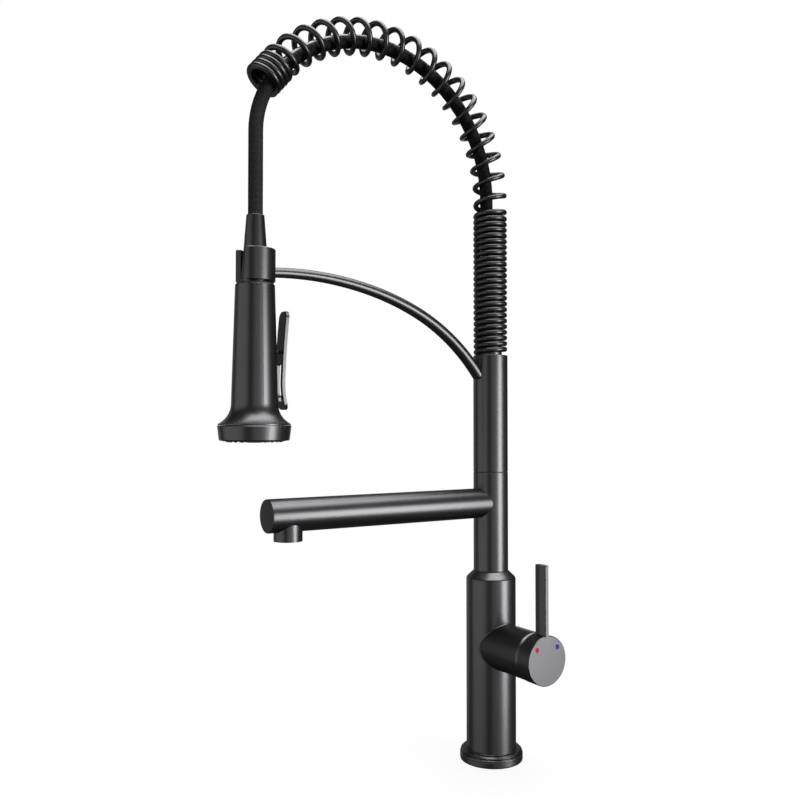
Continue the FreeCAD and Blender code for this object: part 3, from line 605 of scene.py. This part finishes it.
weave, weave_in, weave_out = new_group(
    "weave", [("UV", "NodeSocketVector", None), ("Around", "NodeSocketFloat", float(STRANDS_AROUND)),
              ("Per Metre", "NodeSocketFloat", 1 / DIAMOND)], [("Height", "NodeSocketFloat")])


def weave_math(operation, first, second=None):
    node = weave.nodes.new("ShaderNodeMath")
    node.operation = operation
    for socket, value in zip(node.inputs, (first, second)):
        if isinstance(value, (int, float)):
            socket.default_value = value
        elif value is not None:
            weave.links.new(value, socket)
    return node.outputs[0]


split = weave.nodes.new("ShaderNodeSeparateXYZ")
weave.links.new(weave_in.outputs["UV"], split.inputs[0])
around = weave_math("MULTIPLY", split.outputs["X"], weave_in.outputs["Around"])
along = weave_math("MULTIPLY", split.outputs["Y"], weave_in.outputs["Per Metre"])
first = weave_math("ADD", around, along)
second = weave_math("SUBTRACT", around, along)
cells = weave_math("ADD", weave_math("FLOOR", first), weave_math("FLOOR", second))
over = weave_math("FLOORED_MODULO", cells, 2.0)
first_strand = weave_math("SINE", weave_math("MULTIPLY", weave_math("FRACT", first), math.pi))
second_strand = weave_math("SINE", weave_math("MULTIPLY", weave_math("FRACT", second), math.pi))
gap = weave_math("MULTIPLY", over, weave_math("SUBTRACT", second_strand, first_strand))
weave.links.new(weave_math("ADD", first_strand, gap), weave_out.inputs["Height"])

hose_braid = bpy.data.materials.new("hose_braid")
hose_braid.use_nodes = True
tree = hose_braid.node_tree
shader = tree.nodes["Principled BSDF"]
place = tree.nodes.new("ShaderNodeTexCoord")
pattern = tree.nodes.new("ShaderNodeGroup")
pattern.node_tree = weave
pattern.inputs["Around"].default_value = STRANDS_AROUND
pattern.inputs["Per Metre"].default_value = 1 / DIAMOND
tone = tree.nodes.new("ShaderNodeValToRGB")
tone.color_ramp.elements[0].position = 0.35
tone.color_ramp.elements[0].color = (0.004, 0.004, 0.004, 1)
tone.color_ramp.elements[1].position = 0.95
tone.color_ramp.elements[1].color = (0.020, 0.020, 0.0205, 1)
bump = tree.nodes.new("ShaderNodeBump")
bump.inputs["Distance"].default_value = 0.0003
bump.inputs["Strength"].default_value = 0.6
tree.links.new(place.outputs["UV"], pattern.inputs["UV"])
tree.links.new(pattern.outputs["Height"], tone.inputs["Fac"])
# Inside the spring the jacket's colour is painted darker, as painted shade from the coils, and the jacket is
# polished where its outer side rubs on the coils.
SPRING_EXIT = 0.483              # metres along the hose
distance = tree.nodes.new("ShaderNodeSeparateXYZ")
tree.links.new(place.outputs["UV"], distance.inputs[0])
# Mask of the run inside the spring: it carries the painted shade below and the polished coat.
coil_shade_and_polish = tree.nodes.new("ShaderNodeMapRange")
coil_shade_and_polish.interpolation_type = "SMOOTHSTEP"
coil_shade_and_polish.inputs["From Min"].default_value = SPRING_EXIT + 0.009
coil_shade_and_polish.inputs["From Max"].default_value = SPRING_EXIT - 0.009
tree.links.new(distance.outputs["Y"], coil_shade_and_polish.inputs["Value"])
# Painted shade: inside the spring the jacket's colour goes almost black, standing in for the shade of the
# coils.
painted_coil_shade = tree.nodes.new("ShaderNodeMix")
painted_coil_shade.data_type = "RGBA"
painted_coil_shade.inputs["B"].default_value = (0.001, 0.001, 0.001, 1)
tree.links.new(coil_shade_and_polish.outputs["Result"], painted_coil_shade.inputs["Factor"])
tree.links.new(tone.outputs["Color"], painted_coil_shade.inputs["A"])
tree.links.new(painted_coil_shade.outputs["Result"], shader.inputs["Base Color"])
turn = tree.nodes.new("ShaderNodeMath")
turn.operation = "MULTIPLY"
turn.inputs[1].default_value = math.tau
tree.links.new(distance.outputs["X"], turn.inputs[0])
outer = tree.nodes.new("ShaderNodeMath")
outer.operation = "SINE"
tree.links.new(turn.outputs[0], outer.inputs[0])
rubbed = tree.nodes.new("ShaderNodeMapRange")
rubbed.interpolation_type = "SMOOTHSTEP"
rubbed.inputs["From Min"].default_value = 0.52
rubbed.inputs["From Max"].default_value = 0.74
tree.links.new(outer.outputs[0], rubbed.inputs["Value"])
sheen = tree.nodes.new("ShaderNodeMath")
sheen.operation = "MULTIPLY"
tree.links.new(coil_shade_and_polish.outputs["Result"], sheen.inputs[0])
tree.links.new(rubbed.outputs["Result"], sheen.inputs[1])
tree.links.new(sheen.outputs[0], shader.inputs["Coat Weight"])
shader.inputs["Coat Roughness"].default_value = 0.2
tree.links.new(pattern.outputs["Height"], bump.inputs["Height"])
tree.links.new(bump.outputs["Normal"], shader.inputs["Normal"])
shader.inputs["Roughness"].default_value = 0.6
shader.inputs["Specular IOR Level"].default_value = 0.15
print("weave of", STRANDS_AROUND, "strands")

# %% Hose route
HOSE_RADIUS = 5.6
HOSE_FOOT = 306.0                # height of its sleeve in the column
ARCH_TURN = math.radians(145.5)
DROP_TURN = math.pi - ARCH_TURN
LEAN = 2 * math.atan(4.2 / 60.0)
LEAN_RUN = 30.0 / math.sin(LEAN) * LEAN
# Each run is a length in mm and the angle it turns, towards the sprayer.
HOSE_RUNS = ((127.5, 0.0), (LEAN_RUN, LEAN), (LEAN_RUN, -LEAN), (114.6 * ARCH_TURN, ARCH_TURN),
             (72.5 * DROP_TURN, DROP_TURN), (105.4, 0.0))
HOSE_LENGTH = sum(length for length, turn in HOSE_RUNS)


def hose_place(distance):
    """Reach, height and heading of the hose's middle line, in mm and radians from upright."""
    reach, height, heading = 0.0, HOSE_FOOT, 0.0
    for length, turn in HOSE_RUNS:
        part = min(distance, length)
        swing = turn * part / length
        if abs(turn) > 1e-9:
            radius = length / turn
            reach += radius * (math.cos(heading) - math.cos(heading + swing))
            height += radius * (math.sin(heading + swing) - math.sin(heading))
        else:
            reach += part * math.sin(heading)
            height += part * math.cos(heading)
        heading += swing
        distance -= part
        if distance <= 0:
            break
    return reach, height, heading


print("hose", round(HOSE_LENGTH, 1), "mm, ends at", [round(v, 1) for v in hose_place(HOSE_LENGTH)[:2]])

# %% Woven tube, bent along the route
LENGTH_CUTS = 859
STEPS_AROUND = 64
STRAND_DEPTH = 0.0001
bm = bmesh.new()
low = bm.verts.new((HOSE_RADIUS * MM, 0, 0))
high = bm.verts.new((HOSE_RADIUS * MM, 0, HOSE_LENGTH * MM))
line = bm.edges.new((low, high))
bmesh.ops.subdivide_edges(bm, edges=[line], cuts=LENGTH_CUTS)
bmesh.ops.spin(bm, geom=bm.verts[:] + bm.edges[:], cent=(0, 0, 0), axis=(0, 0, 1), dvec=(0, 0, 0),
               angle=math.tau, steps=STEPS_AROUND, use_merge=True, use_duplicate=False)
bmesh.ops.remove_doubles(bm, verts=bm.verts[:], dist=1e-6)
uv = bm.loops.layers.uv.new("along_hose")
for face in bm.faces:
    middle = face.calc_center_median()
    facing_turn = math.atan2(middle.y, middle.x) / math.tau
    for loop in face.loops:
        turn = math.atan2(loop.vert.co.y, loop.vert.co.x) / math.tau
        turn -= round(turn - facing_turn)
        loop[uv].uv = (turn, loop.vert.co.z)
for vert in bm.verts:
    turn = math.atan2(vert.co.y, vert.co.x) / math.tau
    lift = (strand_height(turn, vert.co.z) - 0.6) * STRAND_DEPTH
    grown = 1 + lift / (HOSE_RADIUS * MM)
    vert.co.x *= grown
    vert.co.y *= grown
for vert in bm.verts:
    reach, height, heading = hose_place(vert.co.z / MM)
    side = vert.co.y
    vert.co.y = -reach * MM + side * math.cos(heading)
    vert.co.z = height * MM + side * math.sin(heading)
bmesh.ops.recalc_face_normals(bm, faces=bm.faces[:])
hose = finished("woven_hose", bm, hose_braid, ["hose"], rides=False, sharp=0, weighted=False)
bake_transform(hose)
